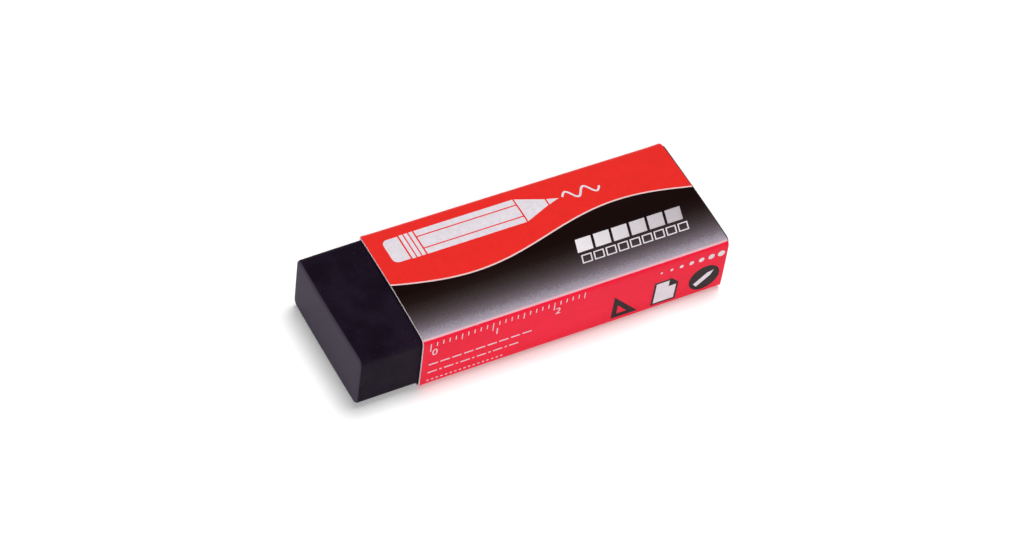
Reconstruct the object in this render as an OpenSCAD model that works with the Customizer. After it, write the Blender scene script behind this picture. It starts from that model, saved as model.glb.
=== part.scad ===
// Rubber eraser: a bar of black rubber in a folded and glued card sleeve.
// All sizes are in millimetres. X runs along the bar and its bare nose points to -X. Z is up.
// The origin is the centre of the footprint, on the surface that the sleeve lies on.

/* [Rubber block] */
// Length of the block
block_l = 60.5; // [54:0.5:80]
// Width of the block
block_w = 21; // [16:0.5:30]
// Thickness of the block
block_h = 10; // [8:0.5:14]
// Radius of the four long edges
block_edge_r = 1.1; // [0.9:0.1:2]
// Radius of the rims of the two cut ends
block_end_r = 0.25; // [0.1:0.05:0.5]

/* [Card sleeve] */
// Length of the sleeve
sleeve_l = 50.5; // [20:0.1:53]
// How far the block's tail stands out of the sleeve
tail_reveal = 0.2; // [0:0.1:1]
// Thickness of the card
card_t = 0.25; // [0.15:0.05:0.5]
// Room between the card and the block, on each side
sleeve_gap = 0.05; // [0.02:0.01:0.1]
// Inner radius of the card's folds
fold_r = 0.75; // [0.4:0.05:0.9]
// Width of the flap that is glued on top of the bottom panel
flap_w = 14; // [5:0.5:15]
// Distance from the back face to the bottom panel's cut edge
lap_setback = 1.5; // [1.4:0.1:3]

/* [Hidden] */
$fn = 64;

rubber_black = "#241f27";
print_red = "#e8302f";
print_crimson = "#ec364a";
print_black = "#2a2226";

// The printed wave: its middle line, its rise to each side, its length, where along the
// sleeve it comes furthest forward, and the step at which it is drawn
wave_y = 0.9;
wave_rise = 2.2;
wave_l = 53.3;
wave_low_x = 12.5;
wave_step = 0.6;

// The sleeve's bottom is two cards thick: the bottom panel, and the glued flap on top of it.
block_z0 = 2 * card_t + sleeve_gap;
tube_w = block_w + 2 * sleeve_gap;
tube_h = block_h + 2 * sleeve_gap;
wrap_w = tube_w + 2 * card_t;
wrap_h = tube_h + 2 * card_t;
sleeve_h = wrap_h + card_t;
fold_out_r = fold_r + card_t;
sleeve_x1 = block_l / 2 - tail_reveal;
sleeve_x0 = sleeve_x1 - sleeve_l;

// A rectangle with round corners, centred on X and standing on y = 0
module round_rect(w, h, r) {
    translate([-w / 2, r]) square([w, h - 2 * r]);
    translate([-w / 2 + r, 0]) square([w - 2 * r, h]);
    for (x = [-w / 2 + r, w / 2 - r], y = [r, h - r])
        translate([x, y]) circle(r);
}

// Draws a YZ outline out along X
module along_x(x0, length) {
    translate([x0, 0, 0]) rotate([90, 0, 90]) linear_extrude(length) children();
}

// Draws an XZ outline out along Y, to both sides
module along_y(width) {
    rotate([90, 0, 0]) linear_extrude(width, center = true) children();
}

// One long edge of the block: a rod whose two rims are rounded
module edge_rod() {
    rotate([0, 90, 0]) rotate_extrude() translate([0, -block_l / 2]) intersection() {
        round_rect(2 * block_edge_r, block_l, block_end_r);
        square([block_edge_r, block_l]);
    }
}

module eraser_block() {
    core_w = block_w - 2 * block_edge_r;
    core_h = block_h - 2 * block_edge_r;
    color(rubber_black) translate([0, 0, block_z0]) {
        along_y(core_w) round_rect(block_l, block_h, block_end_r);
        translate([0, -block_w / 2, block_edge_r])
            linear_extrude(core_h) round_rect(block_l, block_w, block_end_r);
        for (y = [-core_w / 2, core_w / 2], z = [block_edge_r, block_h - block_edge_r])
            translate([0, y, z]) edge_rod();
    }
}

// The folded strip seen from its end, as a closed ring one card thick
module ring(z0, h) {
    translate([0, z0]) difference() {
        round_rect(wrap_w, h, fold_out_r);
        translate([0, card_t]) round_rect(tube_w, h - 2 * card_t, fold_r);
    }
}

module folded_card() {
    along_x(sleeve_x0, sleeve_l) {
        // Back, top, front and the bottom panel, whose cut edge stops short of the back fold
        difference() {
            ring(0, sleeve_h);
            translate([wrap_w / 2 - lap_setback, 0]) square([lap_setback, sleeve_h / 2]);
        }
        // Lower back and the flap, folded in under the block and onto the bottom panel
        intersection() {
            ring(card_t, wrap_h);
            translate([wrap_w / 2 - flap_w, 0]) square([flap_w, sleeve_h]);
        }
    }
}

// The room of the top panel, down to its folds
module top_room() {
    translate([sleeve_x0, -wrap_w / 2, sleeve_h - card_t]) cube([sleeve_l, wrap_w, card_t]);
}

// The room behind the wave that parts the top's red print from its black print
module red_room() {
    wave = [
        for (x = [sleeve_x0:wave_step:sleeve_x1])
            [x, wave_y - wave_rise * cos(360 * (x - sleeve_x0 - wave_low_x) / wave_l)]
    ];
    far_y = wrap_w / 2;
    linear_extrude(sleeve_h) polygon(concat(wave, [[sleeve_x1, far_y], [sleeve_x0, far_y]]));
}

module card_sleeve() {
    color(print_crimson) difference() {
        folded_card();
        top_room();
    }
    color(print_red) intersection() {
        folded_card();
        top_room();
        red_room();
    }
    color(print_black) difference() {
        intersection() {
            folded_card();
            top_room();
        }
        red_room();
    }
}

eraser_block();
card_sleeve();
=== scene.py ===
# A block eraser: a bar of black rubber in a folded card sleeve, put together in that order.
# Everything is in metres. X runs along the bar, its bare nose points to -X, and Z is up.
import math

import bmesh
import bpy
from mathutils import Matrix, Quaternion, Vector, noise


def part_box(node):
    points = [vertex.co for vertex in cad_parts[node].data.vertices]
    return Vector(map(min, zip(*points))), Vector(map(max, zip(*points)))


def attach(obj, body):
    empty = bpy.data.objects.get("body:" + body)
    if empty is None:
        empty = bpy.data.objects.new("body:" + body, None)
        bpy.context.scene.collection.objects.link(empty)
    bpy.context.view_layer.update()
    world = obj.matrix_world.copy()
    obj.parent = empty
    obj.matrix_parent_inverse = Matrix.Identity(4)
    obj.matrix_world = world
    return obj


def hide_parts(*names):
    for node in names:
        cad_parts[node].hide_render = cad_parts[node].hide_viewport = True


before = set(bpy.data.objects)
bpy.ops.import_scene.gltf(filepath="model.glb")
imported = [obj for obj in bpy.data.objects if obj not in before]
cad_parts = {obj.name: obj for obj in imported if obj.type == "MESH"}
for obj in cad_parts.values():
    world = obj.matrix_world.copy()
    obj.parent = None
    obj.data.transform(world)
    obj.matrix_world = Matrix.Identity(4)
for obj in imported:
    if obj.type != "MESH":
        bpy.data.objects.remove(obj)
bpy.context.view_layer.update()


# ---------------------------------------------------------------------------- rubber block
# A bar of soft vinyl rubber, coloured right through with carbon black. The strip is moulded
# with rounded long edges and then cut to length with a blade, so its end rims stay crisp.
# Nothing holds it but the grip of the sleeve.
MM = 0.001
block_low, block_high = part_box("eraser_block")
BLOCK_EDGE_RADIUS = 1.1 * MM
BLOCK_RIM_RADIUS = 0.3 * MM
BLOCK_GRID = 1 * MM
# Soft rubber is never quite flat: its faces swell a little, and the upper back edge is fuller
# than the others, most so from the mouth of the sleeve backwards.
BLOCK_UNEVENNESS, BLOCK_SWELL = 0.03 * MM, 8 * MM
BACK_FULLNESS, BARE_LENGTH = 0.1 * MM, 9.8 * MM
# The blade drags the rubber, so both cut ends bulge. Each has a depth, a form across the bar
# (at its middle, the lean to the back, the fall to both sides) and a form upwards (at the
# floor, the gain to the top).
NOSE_BULGE, NOSE_ACROSS, NOSE_UPWARDS = 0.1 * MM, (1.6, 0.6, 1), (0.8, 0.6)
TAIL_BULGE, TAIL_ACROSS, TAIL_UPWARDS = 0.25 * MM, (1.3, 0.35, 0.6), (0.4, 0.6)
RUBBER_BLACK = "#140d1a"
RUBBER_BLOOM = "#211725"
# The cut ends' colour is partly their open grain and partly a painted sheen.
RUBBER_CUT_AND_SHEEN = "#433b4a"
RUBBER_DUST = "#5b5560"
RUBBER_SPECULAR = 0.055


def linear(colour):
    """The linear colour, with its alpha, of an sRGB hex value."""
    parts = [int(colour[i : i + 2], 16) / 255 for i in (1, 3, 5)]
    return (*[c / 12.92 if c <= 0.04045 else ((c + 0.055) / 1.055) ** 2.4 for c in parts], 1)


def add(tree, kind, links=None, **settings):
    """Adds a node, sets its properties, and links or fills in its sockets."""
    node = tree.nodes.new("ShaderNode" + kind)
    for name, value in settings.items():
        setattr(node, name, value)
    for name, value in (links or {}).items():
        if isinstance(value, bpy.types.NodeSocket):
            tree.links.new(value, node.inputs[name])
        else:
            node.inputs[name].default_value = value
    return node


def cut_grid(bm, low, high, step):
    """Cuts flat faces into small ones, so that they can take a gentle form."""
    for axis in range(3):
        # A length of whole steps doesn't gain one more through rounding.
        count = math.ceil((high[axis] - low[axis]) / step - 1e-6)
        for i in range(1, count):
            place, normal = Vector(), Vector()
            place[axis] = low[axis] + (high[axis] - low[axis]) * i / count
            normal[axis] = 1
            geom = bm.verts[:] + bm.edges[:] + bm.faces[:]
            bmesh.ops.bisect_plane(bm, geom=geom, dist=step * 1e-4, plane_co=place, plane_no=normal)


def bulge(place, depth, across, upwards):
    """How far a cut end stands out at a place on it."""
    aside, high = place.y / block_high.y, place.z / block_high.z
    middle, lean, fall = across
    at_floor, gain = upwards
    return depth * (middle + lean * aside - fall * aside ** 2) * (at_floor + gain * high)


def make_piece(bm, name, materials, body):
    """Turns a finished mesh into a piece that rides on its CAD body."""
    mesh = bpy.data.meshes.new(name)
    bm.to_mesh(mesh)
    bm.free()
    mesh.shade_smooth()
    piece = bpy.data.objects.new(name, mesh)
    bpy.context.scene.collection.objects.link(piece)
    for material in materials:
        mesh.materials.append(material)
    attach(piece, body)
    return piece


# Matt vinyl rubber, filled and moulded: it swallows light, with a dull sheen at a low angle, a
# fine grain, paler clouds where its plasticiser has bloomed, and a few specks of white dust.
# The blade opened the grain of the two cut ends, so they scatter more light and look greyer; their
# paler colour is also partly a painted sheen for the light that falls on them.
rubber = bpy.data.materials.new("black_vinyl_rubber")
rubber.use_nodes = True
tree = rubber.node_tree
shader = tree.nodes["Principled BSDF"]
place = add(tree, "TexCoord").outputs["Object"]
clouds = add(tree, "TexNoise", {"Vector": place, "Scale": 1 / (5 * MM), "Detail": 4, "Roughness": 0.6})
cloudy = add(tree, "MapRange", {"Value": clouds.outputs["Fac"], "From Min": 0.4, "From Max": 0.7})
# The filler's grain is about 0.05 mm, drawn at 0.16 mm so that it shows.
grain = add(tree, "TexNoise", {"Vector": place, "Scale": 1 / (0.16 * MM), "Detail": 3, "Roughness": 0.7})
specks = add(tree, "TexNoise", {"Vector": place, "Scale": 1 / (0.3 * MM), "Detail": 1})
dusty = add(
    tree, "MapRange",
    {"Value": specks.outputs["Fac"], "From Min": 0.7, "From Max": 0.77, "To Max": 0.28},
)
bloomed = add(
    tree, "Mix", {0: cloudy.outputs["Result"], 6: linear(RUBBER_BLACK), 7: linear(RUBBER_BLOOM)},
    data_type="RGBA",
)
# The two cut ends are the faces that look along the bar. Their paler colour is partly the open
# grain and partly painted sheen.
facing = add(tree, "SeparateXYZ", {"Vector": add(tree, "TexCoord").outputs["Normal"]})
endwards = add(tree, "Math", {0: facing.outputs["X"]}, operation="ABSOLUTE")
cut_and_sheen_mask = add(tree, "MapRange", {"Value": endwards.outputs[0], "From Min": 0.25, "From Max": 0.65})
with_cut_and_sheen = add(
    tree, "Mix", {0: cut_and_sheen_mask.outputs["Result"], 6: bloomed.outputs[2], 7: linear(RUBBER_CUT_AND_SHEEN)},
    data_type="RGBA",
)
dusted = add(
    tree, "Mix", {0: dusty.outputs["Result"], 6: with_cut_and_sheen.outputs[2], 7: linear(RUBBER_DUST)},
    data_type="RGBA",
)
dullness = add(
    tree, "MapRange",
    {"Value": grain.outputs["Fac"], "From Min": 0.3, "From Max": 0.7, "To Min": 0.5, "To Max": 0.62},
)
relief = add(tree, "Bump", {"Height": grain.outputs["Fac"], "Distance": 0.02 * MM, "Strength": 0.6})
tree.links.new(dusted.outputs[2], shader.inputs["Base Color"])
tree.links.new(dullness.outputs["Result"], shader.inputs["Roughness"])
tree.links.new(relief.outputs["Normal"], shader.inputs["Normal"])
shader.inputs["Specular IOR Level"].default_value = RUBBER_SPECULAR

bm = bmesh.new()
bmesh.ops.create_cube(bm, size=1)
bmesh.ops.scale(bm, vec=block_high - block_low, verts=bm.verts)
bmesh.ops.translate(bm, vec=(block_high + block_low) / 2, verts=bm.verts)
long_edges = [e for e in bm.edges if abs(e.verts[0].co.x - e.verts[1].co.x) > BLOCK_GRID]
bmesh.ops.bevel(
    bm, geom=long_edges, offset=BLOCK_EDGE_RADIUS, offset_type="OFFSET", segments=8,
    profile=0.5, affect="EDGES", material=-1,
)
rims = [e for e in bm.edges if abs(e.verts[0].co.x - e.verts[1].co.x) < BLOCK_GRID]
bmesh.ops.bevel(
    bm, geom=rims, offset=BLOCK_RIM_RADIUS, offset_type="OFFSET", segments=3,
    profile=0.5, affect="EDGES", material=-1,
)
cut_grid(bm, block_low, block_high, BLOCK_GRID)
bm.normal_update()
for v in bm.verts:
    v.co -= v.normal * BLOCK_UNEVENNESS * (0.5 + 0.5 * noise.noise(v.co / BLOCK_SWELL))
    along = min(1, (v.co.x - block_low.x) / BARE_LENGTH)
    upper_back = 2 * max(0, v.normal.y) * max(0, v.normal.z)
    v.co += v.normal * BACK_FULLNESS * along * upper_back
    v.co.x -= max(0, -v.normal.x) * bulge(v.co, NOSE_BULGE, NOSE_ACROSS, NOSE_UPWARDS)
    v.co.x += max(0, v.normal.x) * bulge(v.co, TAIL_BULGE, TAIL_ACROSS, TAIL_UPWARDS)
block = make_piece(bm, "rubber_block", [rubber], "block")
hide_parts("eraser_block")


# ----------------------------------------------------------------------------- card sleeve
# One strip of coated card, printed flat, creased and folded four times around the block. Its
# flap is folded in first, and the bottom panel is glued over it. Both mouths are open, so the
# white core of the card shows all along its cut edges, and the panels bow out a little.
sleeve_low, sleeve_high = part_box("card_sleeve")
CARD_THICKNESS = 0.25 * MM
FOLD_RADIUS = 1.0 * MM
FLAP_WIDTH = 14 * MM
GLUE_FILM = 0.01 * MM
LAP_SETBACK = 1.5 * MM
SLEEVE_GRID = 0.8 * MM
# The card springs back from its folds: the panels bow out, the mouths flare over a short
# reach, and the faces wave very slightly.
TOP_BOW, SIDE_BOW = 0.27 * MM, 0.06 * MM
MOUTH_FLARE, MOUTH_REACH = 0.04 * MM, 2.5 * MM
CARD_WAVE, CARD_WAVE_LENGTH = 0.01 * MM, 9 * MM
# Small faults of a folded sleeve. The back panel leans in towards the tail and out towards the
# nose, and the ends of the front one are out of square. Both ends draw in at the back corners,
# and the tail does over its top. The lower front fold is crushed, most at the nose edge, where
# the print is scuffed off the very edge of the card.
BACK_SKEW, MOUTH_SKEW = 0.15 * MM, 0.12 * MM
CORNER_PULL, CORNER_START = 0.3 * MM, 0.93
TAIL_PULL = 0.15 * MM
BOTTOM_CRUSH, CRUSH_END = 0.12 * MM, 0.3
MOUTH_SCUFF = 0.025 * MM
SHARPEST_BEND = math.radians(40)
PRINT_RED = "#ee2e29"
PRINT_CRIMSON = "#f31739"
PRINT_KEYLINE = "#efd0ce"
# The pale fold line is partly print and partly a painted highlight on the fold.
FOLD_LINE_AND_HIGHLIGHT = "#e2b0ba"
PRINT_BLACK = "#140504"
CARD_WHITE = "#efebe8"
CARD_GREY, CARD_FLECK = "#c9c3ba", "#a39c92"
CARD_CORE, CORE_SHADE = "#f7f3f6", "#ddd6db"
# How much light the print and the bare card mirror, and how rough each is at least and at most.
PRINT_SPECULAR, PRINT_SATIN = 0.1, (0.28, 0.38)
CARD_SPECULAR, CARD_DULLNESS = 0.25, (0.8, 0.95)
# The print's sizes are in millimetres, across the sleeve from its middle. The wave that parts
# the red from the black has its middle line, its rise, its length, and how far from the nose
# edge it comes furthest forward. For both fine lines the size is half their width.
WAVE_MIDDLE, WAVE_RISE, WAVE_LENGTH, WAVE_LOW = 0.23, 2.2, 51.3, 12.85
WAVE_KEYLINE = 0.125
# The pale line along the upper front fold is partly a printed line and partly a painted highlight on the
# round of the fold.
FOLD_LINE_Y, FOLD_LINE_HALF_WIDTH = -10.45, 0.12
LINE_BLUR = 0.02
# The top's print ends this far out, on the folds, which lie above this height.
TOP_PRINT_EDGE, TOP_PRINT_LEVEL = 10.58, 5
# The fade starts at the front fold and ends near the middle, a little later towards the tail.
FADE_START, FADE_DRIFT, FADE_GRAIN = -10.8, 0.013, 1.6
FADE_FIRST, FADE_LAST = (0.05, "#aba1ad"), (0.82, PRINT_BLACK)
FADE_TONES = (
    (0.125, "#948a96"), (0.2, "#756972"), (0.3, "#594f54"), (0.4, "#453b3e"),
    (0.5, "#342a2a"), (0.64, "#201312"),
)


def swell(x, across, half, bow_height):
    """How far the card stands out: most along a panel's middle, and a little at the mouths."""
    bow = bow_height * (1 - min(1, abs(across) / half) ** 2)
    mouth = min(x - sleeve_low.x, sleeve_high.x - x)
    flare = MOUTH_FLARE * max(0, 1 - mouth / MOUTH_REACH) ** 2
    return bow + flare + CARD_WAVE * noise.noise(Vector((x, across, half)) / CARD_WAVE_LENGTH)


def set_on_card(material, colour_socket, card_place, roughness):
    """Gives a print or a bare card its fibres: a fine bump, and a gloss that is not quite even."""
    tree = material.node_tree
    shader = tree.nodes["Principled BSDF"]
    # Paper fibres are about 0.03 mm wide, drawn at 0.2 mm so that they show.
    fibres = add(tree, "TexNoise", {"Vector": card_place, "Scale": 5, "Detail": 4, "Roughness": 0.65})
    lumps = add(tree, "TexNoise", {"Vector": card_place, "Scale": 0.35, "Detail": 2})
    gloss = add(
        tree, "MapRange",
        {"Value": fibres.outputs["Fac"], "From Min": 0.35, "From Max": 0.65,
         "To Min": roughness[0], "To Max": roughness[1]},
    )
    lumpy = add(tree, "Bump", {"Height": lumps.outputs["Fac"], "Distance": 0.05 * MM, "Strength": 0.5})
    relief = add(
        tree, "Bump",
        {"Height": fibres.outputs["Fac"], "Distance": 0.008 * MM, "Strength": 0.5,
         "Normal": lumpy.outputs["Normal"]},
    )
    tree.links.new(colour_socket, shader.inputs["Base Color"])
    tree.links.new(gloss.outputs["Result"], shader.inputs["Roughness"])
    tree.links.new(relief.outputs["Normal"], shader.inputs["Normal"])


def new_material(name, specular):
    """An empty material and the place on the card, in millimetres from the sleeve's nose edge."""
    material = bpy.data.materials.new(name)
    material.use_nodes = True
    tree = material.node_tree
    tree.nodes["Principled BSDF"].inputs["Specular IOR Level"].default_value = specular
    coordinates = add(tree, "TexCoord")
    place = add(
        tree, "Mapping",
        {"Vector": coordinates.outputs["Object"], "Location": (-sleeve_low.x / MM, 0, 0),
         "Scale": (1 / MM,) * 3},
    )
    return material, tree, place.outputs["Vector"]


# Offset print on coated card: flat bright ink with a satin skin. The red and the black meet at
# a fine white line, the black fades in a fine grain to grey at the front fold, and the ink is
# cracked down to white fibres here and there along the folds.
printed_card, tree, place = new_material("printed_coated_card", PRINT_SPECULAR)
split = add(tree, "SeparateXYZ", {"Vector": place})
angle = add(
    tree, "Math",
    {0: split.outputs["X"], 1: math.tau / WAVE_LENGTH, 2: -math.tau * WAVE_LOW / WAVE_LENGTH},
    operation="MULTIPLY_ADD",
)
cosine = add(tree, "Math", {0: angle.outputs[0]}, operation="COSINE")
wave = add(tree, "Math", {0: cosine.outputs[0], 1: -WAVE_RISE, 2: WAVE_MIDDLE}, operation="MULTIPLY_ADD")
behind_wave = add(tree, "Math", {0: split.outputs["Y"], 1: wave.outputs[0]}, operation="SUBTRACT")
from_wave = add(tree, "Math", {0: behind_wave.outputs[0]}, operation="ABSOLUTE")
is_red = add(
    tree, "MapRange",
    {"Value": behind_wave.outputs[0], "From Min": -LINE_BLUR, "From Max": LINE_BLUR},
)
is_wave_line = add(
    tree, "MapRange",
    {"Value": from_wave.outputs[0], "From Min": WAVE_KEYLINE - LINE_BLUR,
     "From Max": WAVE_KEYLINE + LINE_BLUR, "To Min": 1, "To Max": 0},
)
# A pale line along the upper front fold: partly a printed line, partly a painted highlight.
beside_fold_line = add(tree, "Math", {0: split.outputs["Y"], 1: -FOLD_LINE_Y}, operation="ADD")
from_fold_line = add(tree, "Math", {0: beside_fold_line.outputs[0]}, operation="ABSOLUTE")
is_fold_line_and_highlight = add(
    tree, "MapRange",
    {"Value": from_fold_line.outputs[0], "From Min": FOLD_LINE_HALF_WIDTH - LINE_BLUR,
     "From Max": FOLD_LINE_HALF_WIDTH + LINE_BLUR, "To Min": 1, "To Max": 0},
)
# The fade is printed in dots of about 0.1 mm, drawn as a grain of 0.2 mm so that they show.
dots = add(tree, "TexNoise", {"Vector": place, "Scale": 5, "Detail": 1})
grainy_y = add(
    tree, "Math", {0: dots.outputs["Fac"], 1: FADE_GRAIN, 2: -FADE_GRAIN / 2},
    operation="MULTIPLY_ADD",
)
faded_y = add(tree, "Math", {0: split.outputs["Y"], 1: grainy_y.outputs[0]}, operation="ADD")
fade_end = add(tree, "Math", {0: split.outputs["X"], 1: FADE_DRIFT}, operation="MULTIPLY")
fade = add(
    tree, "MapRange",
    {"Value": faded_y.outputs[0], "From Min": FADE_START, "From Max": fade_end.outputs[0]},
)
grey_to_black = add(tree, "ValToRGB", {"Fac": fade.outputs["Result"]})
stops = grey_to_black.color_ramp.elements
stops[0].position, stops[0].color = FADE_FIRST[0], linear(FADE_FIRST[1])
stops[1].position, stops[1].color = FADE_LAST[0], linear(FADE_LAST[1])
for position, colour in FADE_TONES:
    stops.new(position).color = linear(colour)
top_print = add(
    tree, "Mix", {0: is_red.outputs["Result"], 6: grey_to_black.outputs["Color"], 7: linear(PRINT_RED)},
    data_type="RGBA",
)
lined_wave = add(
    tree, "Mix", {0: is_wave_line.outputs["Result"], 6: top_print.outputs[2], 7: linear(PRINT_KEYLINE)},
    data_type="RGBA",
)
with_fold_line_and_highlight = add(
    tree, "Mix", {0: is_fold_line_and_highlight.outputs["Result"], 6: lined_wave.outputs[2], 7: linear(FOLD_LINE_AND_HIGHLIGHT)},
    data_type="RGBA",
)
# All the card outside the top's print is crimson.
above = add(tree, "Math", {0: split.outputs["Z"], 1: TOP_PRINT_LEVEL}, operation="GREATER_THAN")
outwards = add(tree, "Math", {0: split.outputs["Y"]}, operation="ABSOLUTE")
inside_folds = add(tree, "Math", {0: outwards.outputs[0], 1: TOP_PRINT_EDGE}, operation="LESS_THAN")
on_top = add(tree, "Math", {0: above.outputs[0], 1: inside_folds.outputs[0]}, operation="MULTIPLY")
inks = add(
    tree, "Mix", {0: on_top.outputs[0], 6: linear(PRINT_CRIMSON), 7: with_fold_line_and_highlight.outputs[2]},
    data_type="RGBA",
)
# Ink film: a little more or less of it every few millimetres.
film = add(tree, "TexNoise", {"Vector": place, "Scale": 0.5, "Detail": 5, "Roughness": 0.7})
thin_or_thick = add(
    tree, "MapRange",
    {"Value": film.outputs["Fac"], "From Min": 0.3, "From Max": 0.7, "To Min": 0.95, "To Max": 1.03},
)
mottled = add(
    tree, "Mix", {0: 1.0, 6: inks.outputs[2], 7: thin_or_thick.outputs["Result"]},
    data_type="RGBA", blend_type="MULTIPLY",
)
# Cracked ink at the crown of each fold, where the card looks as much sideways as up or down.
facing = add(tree, "SeparateXYZ", {"Vector": add(tree, "TexCoord").outputs["Normal"]})
turned = add(tree, "Math", {0: facing.outputs["Y"], 1: facing.outputs["Z"]}, operation="MULTIPLY")
crown = add(tree, "Math", {0: turned.outputs[0]}, operation="ABSOLUTE")
on_crown = add(tree, "MapRange", {"Value": crown.outputs[0], "From Min": 0.4, "From Max": 0.5})
cracks = add(tree, "TexNoise", {"Vector": place, "Scale": 1.7, "Detail": 6, "Roughness": 0.8})
cracked = add(
    tree, "MapRange",
    {"Value": cracks.outputs["Fac"], "From Min": 0.56, "From Max": 0.68, "To Max": 0.3},
)
worn = add(
    tree, "Math", {0: on_crown.outputs["Result"], 1: cracked.outputs["Result"]}, operation="MULTIPLY"
)
card_colour = add(
    tree, "Mix", {0: worn.outputs[0], 6: mottled.outputs[2], 7: linear(CARD_WHITE)},
    data_type="RGBA",
)
set_on_card(printed_card, card_colour.outputs[2], place, PRINT_SATIN)

# Uncoated back of the card: greyish pulp, quite dull, with darker flecks.
bare_card, tree, place = new_material("bare_grey_card", CARD_SPECULAR)
pulp = add(tree, "TexNoise", {"Vector": place, "Scale": 1.2, "Detail": 8, "Roughness": 0.75})
pulp_tone = add(tree, "ValToRGB", {"Fac": pulp.outputs["Fac"]})
stops = pulp_tone.color_ramp.elements
stops[0].position, stops[0].color = 0.35, linear(CARD_FLECK)
stops[1].position, stops[1].color = 0.6, linear(CARD_GREY)
set_on_card(bare_card, pulp_tone.outputs["Color"], place, CARD_DULLNESS)

# Cut core of the card: white fibres, sheared by the die, so a little ragged and quite dull.
cut_card, tree, place = new_material("cut_white_card_edge", CARD_SPECULAR)
shear = add(tree, "TexNoise", {"Vector": place, "Scale": 3, "Detail": 6, "Roughness": 0.7})
shear_tone = add(tree, "ValToRGB", {"Fac": shear.outputs["Fac"]})
stops = shear_tone.color_ramp.elements
stops[0].position, stops[0].color = 0.3, linear(CORE_SHADE)
stops[1].position, stops[1].color = 0.55, linear(CARD_CORE)
set_on_card(cut_card, shear_tone.outputs["Color"], place, CARD_DULLNESS)

# The strip starts as a line along its outer face, from the flap's free edge round the block to
# the free edge of the bottom panel.
front, back, top = sleeve_low.y, sleeve_high.y, sleeve_high.z
flap_z = CARD_THICKNESS + GLUE_FILM
bm = bmesh.new()
section = [
    (back - FLAP_WIDTH, flap_z), (back, flap_z), (back, top),
    (front, top), (front, 0), (back - LAP_SETBACK, 0),
]
line = [bm.verts.new((sleeve_low.x, y, z)) for y, z in section]
strip = bmesh.ops.extrude_edge_only(bm, edges=[bm.edges.new(pair) for pair in zip(line, line[1:])])
far_side = [g for g in strip["geom"] if isinstance(g, bmesh.types.BMVert)]
bmesh.ops.translate(bm, verts=far_side, vec=(sleeve_high.x - sleeve_low.x, 0, 0))
folds = [e for e in bm.edges if len(e.link_faces) == 2]
bmesh.ops.bevel(
    bm, geom=folds, offset=FOLD_RADIUS, offset_type="OFFSET", segments=6,
    profile=0.5, affect="EDGES", material=-1,
)
bm.normal_update()
if max(bm.faces, key=lambda f: f.calc_center_median().z).normal.z < 0:
    bmesh.ops.reverse_faces(bm, faces=bm.faces)
cut_grid(bm, sleeve_low, sleeve_high, SLEEVE_GRID)
bmesh.ops.bisect_plane(
    bm, geom=bm.verts[:] + bm.edges[:] + bm.faces[:], dist=1e-7,
    plane_co=(sleeve_low.x + MOUTH_SCUFF, 0, 0), plane_no=(1, 0, 0),
)
PRINTED_SIDE, BARE_SIDE, CUT_EDGE = 0, 1, 2
for face in bm.faces:
    scuffed = face.calc_center_median().x < sleeve_low.x + MOUTH_SCUFF
    face.material_index = CUT_EDGE if scuffed else PRINTED_SIDE
bm.normal_update()
middle = (top + flap_z) / 2
for v in bm.verts:
    out = v.normal.copy()
    over, beside = max(0, out.z), abs(out.y)
    height = over * swell(v.co.x, v.co.y, back, TOP_BOW)
    height += beside * swell(v.co.x, v.co.z - middle, middle, SIDE_BOW)
    v.co += height * Vector((0, out.y, max(0, out.z)))
    high, along = (v.co.z - flap_z) / top, v.co.x / sleeve_high.x
    v.co.x -= TAIL_PULL * max(0, along) * over
    if v.co.y > 0:
        corner = max(0, v.co.y / back - CORNER_START) / (1 - CORNER_START)
        v.co.x -= CORNER_PULL * (along if along > 0 else 2 * along) * corner * high
        v.co.y -= BACK_SKEW * along * max(0, high) * v.co.y / back
    else:
        v.co.x -= MOUTH_SKEW * (2 * high - 1) * v.co.y / front * abs(along)
        lower_front = 2 * max(0, -out.y) * max(0, -out.z)
        v.co -= BOTTOM_CRUSH * max(0, CRUSH_END - along) * lower_front * out
sleeve = make_piece(bm, "printed_sleeve", [printed_card, bare_card, cut_card], "sleeve")
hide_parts("card_sleeve")
wall = sleeve.modifiers.new("card_thickness", "SOLIDIFY")
wall.thickness, wall.offset, wall.use_even_offset = CARD_THICKNESS, -1, True
wall.material_offset, wall.material_offset_rim = BARE_SIDE, CUT_EDGE
thick = sleeve.evaluated_get(bpy.context.evaluated_depsgraph_get())
sleeve.data = bpy.data.meshes.new_from_object(thick)
sleeve.modifiers.clear()
sleeve.data.set_sharp_from_angle(angle=SHARPEST_BEND)


# ---------------------------------------------------------------------------- printed pencil
# A plain pencil and the line it draws, printed in opaque white on the red of the top panel. On
# the real card these are flat ink, so each is a film that lies on the bowed card.
INK_LIFT = 0.012 * MM
INK_WHITE, INK_WHITE_SHADE = "#ebe4eb", "#e2d9e0"
# A drawing is in millimetres: x from the sleeve's nose edge, and y down from the panel's
# upper fold. The field holds the whole of a panel.
FIELD_LOW, FIELD_HIGH, FIELD_GRID = Vector((0, -22, 0)), Vector((52, 0, 0)), 1
PENCIL_START, PENCIL_MIDDLE, PENCIL_HEIGHT = 2.4, 4.8, 4.8
# Along the pencil from its start: its rubber, three rings, the barrel with its three facets,
# the sharpened wood, and the lead, each with a half height where it was sharpened.
PENCIL_RUBBER, PENCIL_RUBBER_INSET, PENCIL_RUBBER_ROUND = 2.6, 0.1, 0.9
PENCIL_RINGS = ((2.85, 3.45), (3.65, 4.25), (4.45, 5.05))
PENCIL_BARREL, FACET_SPACE = (5.3, 21.6), 0.22
PENCIL_WOOD, WOOD_INSET, WOOD_HALF = (21.85, 26.1), 0.06, 0.62
PENCIL_LEAD, LEAD_HALF = (26.35, 28.2), 0.56
STROKE_MIDDLE, STROKE_LENGTH, STROKE_WIDTH = 34.3, 6.2, 0.34
STROKE_WAVE, STROKE_RISE = 3.1, 0.8


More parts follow.
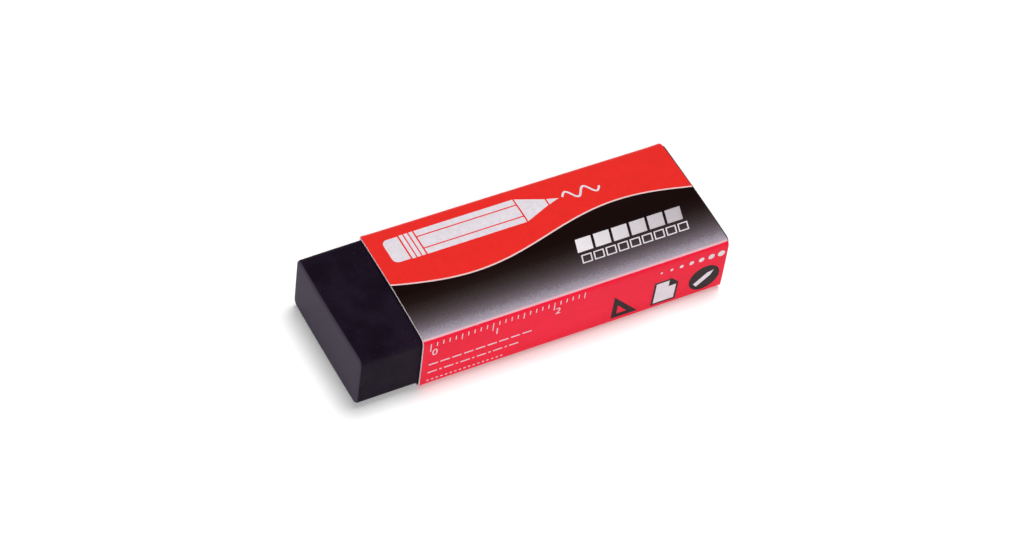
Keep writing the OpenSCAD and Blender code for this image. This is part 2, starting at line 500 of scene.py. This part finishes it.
def ink(name, colour, shade):
    """Opaque offset ink: nearly even, a shade deeper where the film is thin, with the card's satin."""
    material, tree, place = new_material(name, PRINT_SPECULAR)
    film = add(tree, "TexNoise", {"Vector": place, "Scale": 1.5, "Detail": 5, "Roughness": 0.7})
    patchy = add(tree, "MapRange", {"Value": film.outputs["Fac"], "From Min": 0.4, "From Max": 0.65})
    colours = add(
        tree, "Mix", {0: patchy.outputs["Result"], 6: linear(shade), 7: linear(colour)},
        data_type="RGBA",
    )
    set_on_card(material, colours.outputs[2], place, PRINT_SATIN)
    return material


def bar(bm, left, high, right, low, slant=0):
    """A rectangle by its left, upper, right and lower sides, leaning over by its slant."""
    made = bmesh.ops.create_grid(bm, x_segments=1, y_segments=1, size=0.5)["verts"]
    middle = -(high + low) / 2
    bmesh.ops.scale(bm, vec=(right - left, low - high, 1), verts=made)
    bmesh.ops.translate(bm, vec=((left + right) / 2, middle, 0), verts=made)
    for v in made:
        v.co.x += (v.co.y - middle) * slant
    return made


def shape(bm, points):
    """A flat shape from its corners."""
    made = [bm.verts.new((x, -y, 0)) for x, y in points]
    face = bm.faces.new(made)
    face.normal_update()
    if face.normal.z < 0:
        face.normal_flip()
    return made


def round_corners(bm, corners, radius):
    """Rounds the corners of a flat shape."""
    bmesh.ops.bevel(
        bm, geom=corners, offset=radius, offset_type="OFFSET", segments=6,
        profile=0.5, affect="VERTICES", material=-1,
    )


def lay_print(bm, name, panel, material, layer=1):
    """Lays a flat drawing on the top or the front panel, as an ink film on the bowed card."""
    cut_grid(bm, FIELD_LOW, FIELD_HIGH, FIELD_GRID)
    for v in bm.verts:
        x, down, lift = sleeve_low.x + v.co.x * MM, v.co.y * MM, layer * INK_LIFT
        if panel == "top":
            v.co = (x, back + down, top + swell(x, back + down, back, TOP_BOW) + lift)
        else:
            v.co = (x, front - swell(x, top + down - middle, middle, SIDE_BOW) - lift, top + down)
    return make_piece(bm, name, [material], "sleeve")


white_ink = ink("opaque_white_ink", INK_WHITE, INK_WHITE_SHADE)
bm = bmesh.new()
x = PENCIL_START
y0, y1 = PENCIL_MIDDLE - PENCIL_HEIGHT / 2, PENCIL_MIDDLE + PENCIL_HEIGHT / 2
rubber_end = bar(bm, x, y0 + PENCIL_RUBBER_INSET, x + PENCIL_RUBBER, y1 - PENCIL_RUBBER_INSET)
round_corners(bm, [v for v in rubber_end if v.co.x < x + PENCIL_RUBBER / 2], PENCIL_RUBBER_ROUND)
for start, end in PENCIL_RINGS:
    bar(bm, x + start, y0, x + end, y1)
start, end = x + PENCIL_BARREL[0], x + PENCIL_BARREL[1]
facet = (PENCIL_HEIGHT - 2 * FACET_SPACE) / 4
bar(bm, start, y0, end, y0 + facet)
bar(bm, start, y0 + facet + FACET_SPACE, end, y1 - facet - FACET_SPACE)
bar(bm, start, y1 - facet, end, y1)
start, end = x + PENCIL_WOOD[0], x + PENCIL_WOOD[1]
shape(bm, [
    (start, y0 + WOOD_INSET), (end, PENCIL_MIDDLE - WOOD_HALF),
    (end, PENCIL_MIDDLE + WOOD_HALF), (start, y1 - WOOD_INSET),
])
start, end = x + PENCIL_LEAD[0], x + PENCIL_LEAD[1]
shape(bm, [(start, PENCIL_MIDDLE - LEAD_HALF), (end, PENCIL_MIDDLE), (start, PENCIL_MIDDLE + LEAD_HALF)])
lay_print(bm, "pencil_print", "top", white_ink)

# The line that it draws: a wavy stroke.
bm = bmesh.new()
stroke = bmesh.ops.create_grid(bm, x_segments=80, y_segments=1, size=0.5)["verts"]
for v in stroke:
    along, aside = STROKE_LENGTH * v.co.x, STROKE_WIDTH * v.co.y
    turn, steepness = math.tau * along / STROKE_WAVE, STROKE_RISE * math.tau / STROKE_WAVE
    lean = math.hypot(1, steepness * math.cos(turn))
    v.co.x = STROKE_MIDDLE + along - aside * steepness * math.cos(turn) / lean
    v.co.y = -PENCIL_MIDDLE + STROKE_RISE * math.sin(turn) + aside / lean
lay_print(bm, "pencil_line_print", "top", white_ink)


# ------------------------------------------------------------------------------- tone chips
# A scale of slanted chips from white to grey, and a row of open chips under it, as on a box of
# drawing pencils. It is printed on the black of the top panel.
CHIPS, CHIPS_START, CHIPS_LENGTH = 6, 28.5, 18.2
CHIP_TOP, CHIP_BOTTOM, CHIP_SPACE, CHIP_SLANT = 13.0, 15.4, 0.45, 0.3
TONES_START, TONES_END = 28.7, 46.8
TONE_WHITE, TONE_GREY = "#f4eef2", "#c0b8be"
OPEN_CHIPS, OPEN_START, OPEN_PITCH, OPEN_WIDTH = 9, 28.1, 2.03, 1.71
OPEN_TOP, OPEN_BOTTOM, OPEN_LINE = 15.95, 17.45, 0.2
chip_ink, tree, place = new_material("tone_scale_ink", PRINT_SPECULAR)
split = add(tree, "SeparateXYZ", {"Vector": place})
tone = add(
    tree, "MapRange", {"Value": split.outputs["X"], "From Min": TONES_START, "From Max": TONES_END}
)
tones = add(tree, "ValToRGB", {"Fac": tone.outputs["Result"]})
tones.color_ramp.elements[0].color = linear(TONE_WHITE)
tones.color_ramp.elements[1].color = linear(TONE_GREY)
film = add(tree, "TexNoise", {"Vector": place, "Scale": 1.5, "Detail": 5, "Roughness": 0.7})
thin_or_thick = add(
    tree, "MapRange",
    {"Value": film.outputs["Fac"], "From Min": 0.3, "From Max": 0.7, "To Min": 0.9, "To Max": 1},
)
colours = add(
    tree, "Mix", {0: 1.0, 6: tones.outputs["Color"], 7: thin_or_thick.outputs["Result"]},
    data_type="RGBA", blend_type="MULTIPLY",
)
set_on_card(chip_ink, colours.outputs[2], place, PRINT_SATIN)
bm = bmesh.new()
pitch = CHIPS_LENGTH / CHIPS
for i in range(CHIPS):
    start, end = CHIPS_START + i * pitch, CHIPS_START + (i + 1) * pitch - CHIP_SPACE
    bar(bm, start, CHIP_TOP, end, CHIP_BOTTOM, slant=CHIP_SLANT)
lay_print(bm, "tone_chips_print", "top", chip_ink)

bm = bmesh.new()
for i in range(OPEN_CHIPS):
    start = OPEN_START + i * OPEN_PITCH
    bar(bm, start, OPEN_TOP, start + OPEN_WIDTH, OPEN_BOTTOM, slant=CHIP_SLANT)
bmesh.ops.inset_individual(bm, faces=bm.faces[:], thickness=OPEN_LINE, use_even_offset=True)
half_a_chip = OPEN_WIDTH * (OPEN_BOTTOM - OPEN_TOP) / 2
bmesh.ops.delete(bm, geom=[f for f in bm.faces if f.calc_area() > half_a_chip], context="FACES")
lay_print(bm, "open_chips_print", "top", white_ink)


# ----------------------------------------------------------------- ruler, lines and dots
# A short ruler in millimetres with its plain numbers, three styles of line under it (dashed,
# chain and dotted), and a row of growing dots, printed in white on the front panel.
RULER_START, RULER_TOP, RULER_LENGTH = 1.2, 0.95, 25
CENTIMETRE_TICK, HALF_TICK, MILLIMETRE_TICK, TICK_WIDTH = 1.7, 1.25, 0.85, 0.14
NUMBER_SIZE, NUMBER_ASIDE, NUMBER_DOWN = 1.9, 0.75, 2.75
# Each style of line has its place down the panel, where it ends, and its dashes in turn.
LINE_STYLES = ((5.7, 17.6, (1.5,)), (7.5, 16.0, (1.5, 0.35)), (9.3, 13.3, (0.35,)))
LINE_START, LINE_WIDTH, DASH_SPACE = 1.2, 0.24, 0.4
DOTS, DOTS_START, DOTS_DOWN, DOT_PITCH = 7, 39.2, 2.4, 1.7
DOT_RADIUS, DOT_GROWTH = 0.18, 0.07
bm = bmesh.new()
for i in range(RULER_LENGTH + 1):
    length = CENTIMETRE_TICK if i % 10 == 0 else HALF_TICK if i % 5 == 0 else MILLIMETRE_TICK
    tick = RULER_START + i
    bar(bm, tick - TICK_WIDTH / 2, RULER_TOP, tick + TICK_WIDTH / 2, RULER_TOP + length)
lay_print(bm, "ruler_ticks_print", "front", white_ink)

bm = bmesh.new()
for number in (0, 1, 2):
    curve = bpy.data.curves.new("ruler_number", "FONT")
    curve.body, curve.size, curve.align_x = str(number), NUMBER_SIZE, "CENTER"
    figure = bpy.data.objects.new("ruler_number", curve)
    bpy.context.scene.collection.objects.link(figure)
    flat = bpy.data.meshes.new_from_object(figure.evaluated_get(bpy.context.evaluated_depsgraph_get()))
    x = RULER_START + 10 * number + NUMBER_ASIDE
    flat.transform(Matrix.Translation((x, -RULER_TOP - NUMBER_DOWN, 0)))
    bm.from_mesh(flat)
    bpy.data.objects.remove(figure)
lay_print(bm, "ruler_numbers_print", "front", white_ink)

bm = bmesh.new()
for down, line_end, dashes in LINE_STYLES:
    x, turn = LINE_START, 0
    while x < line_end:
        dash = dashes[turn % len(dashes)]
        bar(bm, x, down - LINE_WIDTH / 2, x + dash, down + LINE_WIDTH / 2)
        x, turn = x + dash + DASH_SPACE, turn + 1
lay_print(bm, "line_styles_print", "front", white_ink)

bm = bmesh.new()
for i in range(DOTS):
    radius = DOT_RADIUS + DOT_GROWTH * i
    made = bmesh.ops.create_circle(bm, cap_ends=True, segments=24, radius=radius)["verts"]
    bmesh.ops.translate(bm, vec=(DOTS_START + DOT_PITCH * i, -DOTS_DOWN, 0), verts=made)
lay_print(bm, "dot_scale_print", "front", white_ink)


# ------------------------------------------------------------------------------- small signs
# Three plain drawings of desk things, in black and white on the front panel: a set square, a
# sheet with a folded corner, and a pencil on a round ground.
INK_BLACK, INK_BLACK_SHADE = "#1b1213", "#2a1c1f"
SET_SQUARE, SET_SQUARE_WIDTH = [(31.6, 9.45), (31.6, 4.5), (36.1, 9.45)], 0.85
SHEET = [(38.4, 4.45), (41.3, 4.45), (42.6, 5.75), (42.6, 9.55), (38.4, 9.55)]
SHEET_WHITE = [(38.75, 4.8), (40.95, 4.8), (40.95, 6.1), (42.25, 6.1), (42.25, 9.2), (38.75, 9.2)]
GROUND_X, GROUND_DOWN, GROUND_RADIUS = 47.2, 6.95, 2.6
# The small pencil is drawn level around its own middle, and then turned.
SMALL_PENCIL = [(-1.9, -0.5), (0.9, -0.5), (1.95, 0), (0.9, 0.5), (-1.9, 0.5)]
SMALL_PENCIL_TURN = Matrix.Rotation(math.radians(40), 3, "Z")
black_ink = ink("opaque_black_ink", INK_BLACK, INK_BLACK_SHADE)
bm = bmesh.new()
shape(bm, SET_SQUARE)
bmesh.ops.inset_individual(bm, faces=bm.faces[:], thickness=SET_SQUARE_WIDTH, use_even_offset=True)
opening = min(bm.faces, key=lambda f: f.calc_perimeter())
bmesh.ops.delete(bm, geom=[opening], context="FACES_ONLY")
lay_print(bm, "set_square_print", "front", black_ink)

bm = bmesh.new()
shape(bm, SHEET)
ground = bmesh.ops.create_circle(bm, cap_ends=True, segments=48, radius=GROUND_RADIUS)["verts"]
bmesh.ops.translate(bm, vec=(GROUND_X, -GROUND_DOWN, 0), verts=ground)
lay_print(bm, "dark_grounds_print", "front", black_ink)

bm = bmesh.new()
shape(bm, SHEET_WHITE)
small_pencil = shape(bm, SMALL_PENCIL)
bmesh.ops.rotate(bm, verts=small_pencil, cent=(0, 0, 0), matrix=SMALL_PENCIL_TURN)
bmesh.ops.translate(bm, vec=(GROUND_X, -GROUND_DOWN, 0), verts=small_pencil)
lay_print(bm, "light_shapes_print", "front", white_ink, layer=2)


# ---------------------------------------------------------------------------------- studio
# A plain white sweep, two wide soft lights and a dim ceiling, with the camera looking down at
# the bare nose. The floor is a dull white board that keeps the soft shadow of the eraser.
FLOOR_REACH = 3
BOARD_WHITE, BOARD_GLOW = 0.92, 0.22
# How bright the room is to the camera, how bright mirrors show its walls and its ceiling, and
# how much it lights the object.
ROOM_SEEN, ROOM_WALL, ROOM_CEILING, ROOM_LIGHT = 1.0, 1.0, 0.12, 0.18
# Each light has its power, how many degrees wide it is, and the way from the object to it.
LIGHTS = (
    ("overhead_softbox", 2.22, 24, (0.17, 0.1, 0.98)),
    ("front_softbox", 1.68, 50, (-0.5, -0.84, 0.2)),
)
CAMERA_LENS, CAMERA_SENSOR, CAMERA_ROLL = 107.18, 36, 9.48
CAMERA_PLACE, CAMERA_AIM = Vector((-0.16716, -0.24124, 0.344)), Vector((0.00016, 0.00054, 0.00525))
CAMERA_NEAREST, CAMERA_FURTHEST = 0.01, 20
studio = bpy.context.scene
studio.view_settings.view_transform = "Standard"

floor_mesh = bpy.data.meshes.new("studio_floor")
bm = bmesh.new()
bmesh.ops.create_grid(bm, x_segments=1, y_segments=1, size=FLOOR_REACH)
bm.to_mesh(floor_mesh)
bm.free()
floor = bpy.data.objects.new("studio_floor", floor_mesh)
studio.collection.objects.link(floor)
# The board scatters light as dull white, and glows a little to the camera and in mirrors.
board = bpy.data.materials.new("dull_white_board")
board.use_nodes = True
tree = board.node_tree
tree.nodes.remove(tree.nodes["Principled BSDF"])
seen = add(tree, "LightPath").outputs
mirrored = add(
    tree, "Math", {0: seen["Is Glossy Ray"], 1: seen["Is Transmission Ray"]}, operation="MAXIMUM"
)
looked_at = add(tree, "Math", {0: seen["Is Camera Ray"], 1: mirrored.outputs[0]}, operation="MAXIMUM")
glow_level = add(tree, "Math", {0: looked_at.outputs[0], 1: BOARD_GLOW}, operation="MULTIPLY")
glow = add(tree, "Emission", {"Color": (1, 1, 1, 1), "Strength": glow_level.outputs[0]})
dull = add(tree, "BsdfDiffuse", {"Color": (BOARD_WHITE, BOARD_WHITE, BOARD_WHITE, 1)})
both = add(tree, "AddShader", {0: dull.outputs[0], 1: glow.outputs[0]})
tree.links.new(both.outputs[0], tree.nodes["Material Output"].inputs["Surface"])
floor_mesh.materials.append(board)

world = bpy.data.worlds.new("studio_room")
world.use_nodes = True
studio.world = world
tree = world.node_tree
seen = add(tree, "LightPath").outputs
mirrored = add(
    tree, "Math", {0: seen["Is Glossy Ray"], 1: seen["Is Transmission Ray"]}, operation="MAXIMUM"
)
height = add(tree, "SeparateXYZ", {"Vector": add(tree, "TexCoord").outputs["Generated"]})
wall_to_ceiling = add(
    tree, "MapRange",
    {"Value": height.outputs["Z"], "From Min": 0.35, "From Max": 0.66,
     "To Min": ROOM_WALL, "To Max": ROOM_CEILING},
    interpolation_type="SMOOTHSTEP",
)
mirror_level = add(
    tree, "Mix", {0: mirrored.outputs[0], 2: ROOM_LIGHT, 3: wall_to_ceiling.outputs["Result"]},
    data_type="FLOAT",
)
level = add(
    tree, "Mix", {0: seen["Is Camera Ray"], 2: mirror_level.outputs[0], 3: ROOM_SEEN}, data_type="FLOAT"
)
tree.links.new(level.outputs[0], tree.nodes["Background"].inputs["Strength"])
tree.nodes["Background"].inputs["Color"].default_value = (1, 1, 1, 1)

for name, power, spread, towards in LIGHTS:
    lamp = bpy.data.lights.new(name, "SUN")
    lamp.energy, lamp.angle = power, math.radians(spread)
    holder = bpy.data.objects.new(name, lamp)
    holder.rotation_mode = "QUATERNION"
    holder.rotation_quaternion = Vector(towards).to_track_quat("Z", "Y")
    holder.visible_glossy = False
    studio.collection.objects.link(holder)

camera_data = bpy.data.cameras.new("camera")
camera_data.lens, camera_data.sensor_width = CAMERA_LENS, CAMERA_SENSOR
camera_data.clip_start, camera_data.clip_end = CAMERA_NEAREST, CAMERA_FURTHEST
camera = bpy.data.objects.new("camera", camera_data)
studio.collection.objects.link(camera)
camera.rotation_mode = "QUATERNION"
level_camera = (CAMERA_AIM - CAMERA_PLACE).to_track_quat("-Z", "Y")
camera.location = CAMERA_PLACE
camera.rotation_quaternion = level_camera @ Quaternion((0, 0, 1), math.radians(CAMERA_ROLL))
studio.camera = camera
